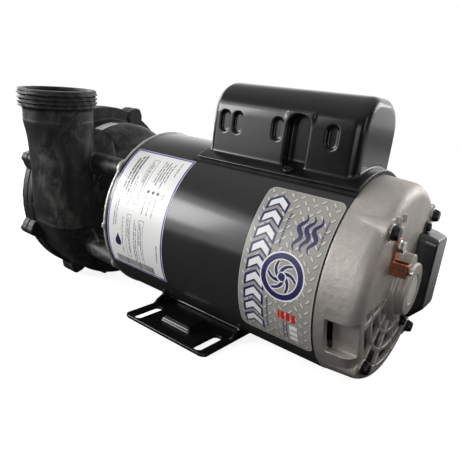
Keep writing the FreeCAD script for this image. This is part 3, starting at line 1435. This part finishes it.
def drain_plug():
    seat, bar_length = num.drain_seat, 14.0
    plug = drain_rod(5.1, 16.0, seat - 16.0)
    plug = plug.fuse([drain_rod(8.0, 3.0, seat + 1.2), drain_rod(5.1, 1.3, seat)])
    # grip bar across the plug's head
    bar = Part.makeBox(bar_length, 3.0, 3.6, Vector(num.drain_x - bar_length / 2, -1.5, 0))
    bar = bar.rotated(Vector(num.drain_x, 0, 0), X, num.drain_angle - 90.0)
    feature("drain_plug", plug.fuse(bar.translated(DRAIN_DIRECTION * (seat + 4.0))))
    oring = drain_rod(7.2, 1.15, seat + 0.03).cut(drain_rod(5.2, 3.0, seat - 1.0))
    feature("drain_plug_oring", oring)


# ------------------------------------------------------------------- impeller
def impeller_vane(x, start_angle):
    # backward-swept blade, drawn at x and extruded to the back disc
    inner_reach, outer_reach, sweep, half_thick = 19.0, num.impeller_radius - 1.0, 95.0, 1.3

    def flank(side):
        points = []
        for j in range(9):
            part = j / 8.0
            reach = inner_reach + (outer_reach - inner_reach) * part
            angle = start_angle - sweep * part ** 0.9 + side * math.degrees(half_thick / reach)
            points.append(Vector(*around(x, reach, angle)))
        return points

    one, two = flank(1.0), flank(-1.0)
    curves = []
    for points in (one, two[::-1]):
        curve = Part.BSplineCurve()
        curve.interpolate(points)
        curves.append(curve.toShape())
    outline = Part.Wire([curves[0], Part.makeLine(one[-1], two[-1]),
                         curves[1], Part.makeLine(two[0], one[0])])
    return Part.Face(outline).extrude(Vector(num.vane_height + 1.0, 0, 0))


def impeller():
    # closed: back disc with a nose, front disc with an eye, vanes between
    back, outer = num.impeller_back, num.impeller_radius
    shroud, bore, eye_radius = (num.impeller_shroud, num.impeller_eye_bore,
                                num.impeller_eye_radius)
    disc_front = back - shroud
    front = disc_front - num.vane_height
    back_disc = about_x([(disc_front, 0.0), (disc_front, outer), (back, outer), (back, 0.0)])
    nose = about_x([(disc_front + 0.5, 14.0), (back - 9.0, 12.0), (back - 20.0, 9.0),
                    (back - 30.0, 7.0), (back - 30.0, 0.0), (disc_front + 0.5, 0.0)])
    front_disc = about_x([(front - shroud, bore), (front - shroud, outer), (front, outer),
                          (front, bore)])
    eye = about_x([(front - 22.0, bore), (front - 22.0, eye_radius),
                   (front - shroud - 1.0, eye_radius), (front - 1.0, eye_radius + 3.0),
                   (front - 1.0, bore)])
    count = int(num.vane_count)
    vanes = [impeller_vane(front - 0.5, 360.0 * i / count) for i in range(count)]
    wheel = back_disc.fuse([nose, front_disc, eye] + vanes)
    wheel = wheel.cut(rod(num.shaft_thread_radius + 0.03, 60.0, num.shaft_front - 0.02))
    feature("impeller", largest(wheel))


# ------------------------------------------------- mechanical seal and slinger
def mechanical_seal():
    shaft_fit = dims.shaft_seal_radius + dims.fit_gap
    cup_outer = dims.seal_bore_radius - dims.fit_gap
    turned("seal_seat_cup", [
        (-143.0, 14.02), (-143.0, cup_outer), (-132.1, cup_outer), (-132.1, 10.5),
        (-134.0, 10.5), (-134.0, 14.02)])
    ceramic = ring("seal_ceramic_seat", -142.0, -134.02, 9.6, 14.0)
    chamfer(ceramic, ring_edge(-142.0, 14.0), 0.5)
    turned("seal_carbon_head", [
        (-145.0, shaft_fit), (-145.0, 12.6), (-143.2, 12.6), (-143.2, 11.6),
        (-142.02, 11.6), (-142.02, shaft_fit)])
    # the seal's spring: three stacked coils
    coils = [Part.makeTorus(10.6, 0.55, Vector(x, 0, 0), X) for x in (-148.4, -147.05, -145.7)]
    feature("seal_spring", Part.makeCompound(coils))
    turned("slinger", [
        (-110.0, shaft_fit), (-110.0, 11.0), (-108.5, 17.0), (-107.0, 17.0),
        (-107.0, 11.5), (-103.0, 10.5), (-103.0, shaft_fit)])


def spec_sticker():
    # small blank sticker lying on the top of the scroll
    turn = 107.5 - num.volute_clock - 90.0
    skin = scroll(inner=20.0, shrink=-0.3, front=-172.0, back_shrink=0.0, first=0.5, last=30.0)
    skin = skin.cut(scroll(inner=10.0, shrink=-0.03, front=-200.0, back_shrink=0.0,
                           first=0.2, last=40.0))
    keep = Part.makeBox(12.0, 26.0, 30.0, Vector(-171.5, -13.0, 70.0)).rotated(ORIGIN, X, turn)
    feature("spec_sticker", largest(clocked(skin.common(keep))))


# -------------------------------------------------------------------- output
for build in (
        motor_shell, front_bracket, bearings, shaft, rotor_core, rotor_rings, stator_core,
        stator_windings, rear_endbell, wave_washer, hub_cap, through_bolts, foot_base,
        capacitor_cover, cover_gasket, capacitor_cover_screws, capacitors, capacitor_leads,
        labels, terminal_cover, terminal_cover_screws, terminal_board, start_switch,
        governor_plate, governor_weights, governor_collar, ground_lug, ground_lug_screw,
        ground_clamp_screw, volute_housing, suction_cover, wear_ring, cover_oring,
        wet_end_fasteners, drain_plug, impeller, mechanical_seal, spec_sticker):
    build()

doc.recompute()
for obj in doc.Objects:
    if "Invalid" in obj.State or "Error" in obj.State:
        raise RuntimeError("bad state: " + obj.Name + " " + str(obj.State))
os.makedirs("parts", exist_ok=True)
for node in nodes:
    shape = node.Shape
    if shape.isNull() or not shape.isValid() or shape.Volume <= 0:
        raise RuntimeError("bad shape: " + node.Label)
    shape.exportStep("parts/%s.step" % node.Label)
